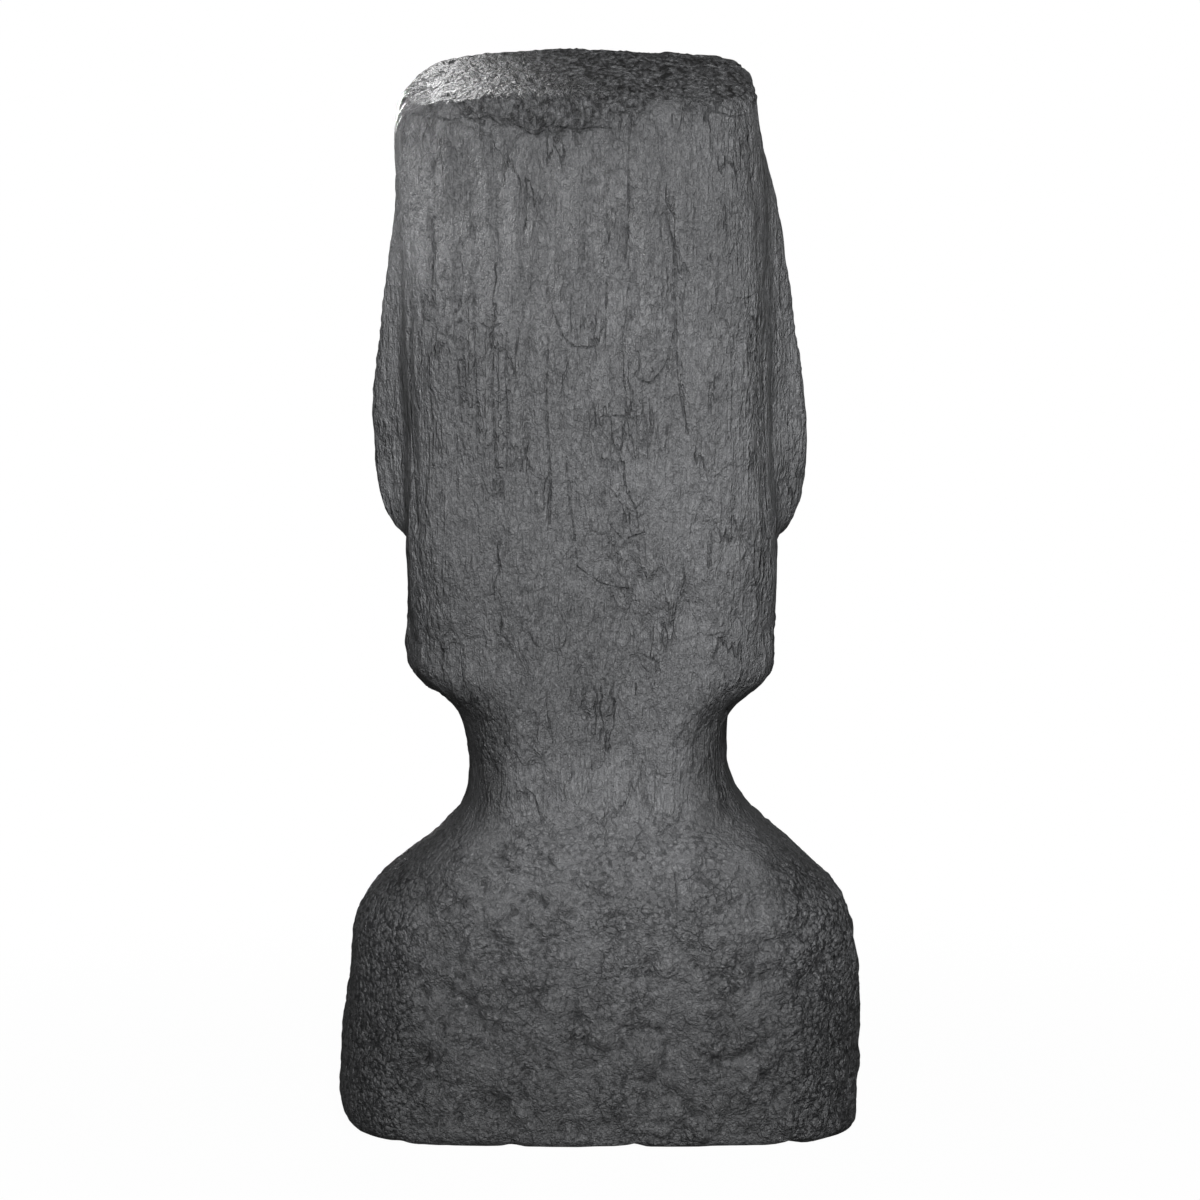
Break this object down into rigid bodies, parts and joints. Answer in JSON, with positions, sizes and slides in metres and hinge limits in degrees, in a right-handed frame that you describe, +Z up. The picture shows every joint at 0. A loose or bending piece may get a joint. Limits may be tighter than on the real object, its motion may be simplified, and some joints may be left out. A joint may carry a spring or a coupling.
{
  "type": "moai garden statue",
  "caption": "Dark grey moai bust: long flat-backed head with long ears and a heavy brow, short neck and a torso cut off flat as its base.",
  "frame": {"origin": "under the middle of the figure's bounding box, on the flat underside it stands on", "axes": "+Z up the figure to the crown; the face looks along -Y, so +Y is the back of the head; +X is to the viewer's left when the back is seen"},
  "size_m": [0.4852, 0.3712, 1.0005],
  "materials": {
    "cast_body": "moulded resin cast, coloured dark slate grey, satin, with the grain and tool marks of weathered stone"
  },
  "bodies": {
    "root": {"moai_figure": "cast_body"}
  },
  "joints": []
}
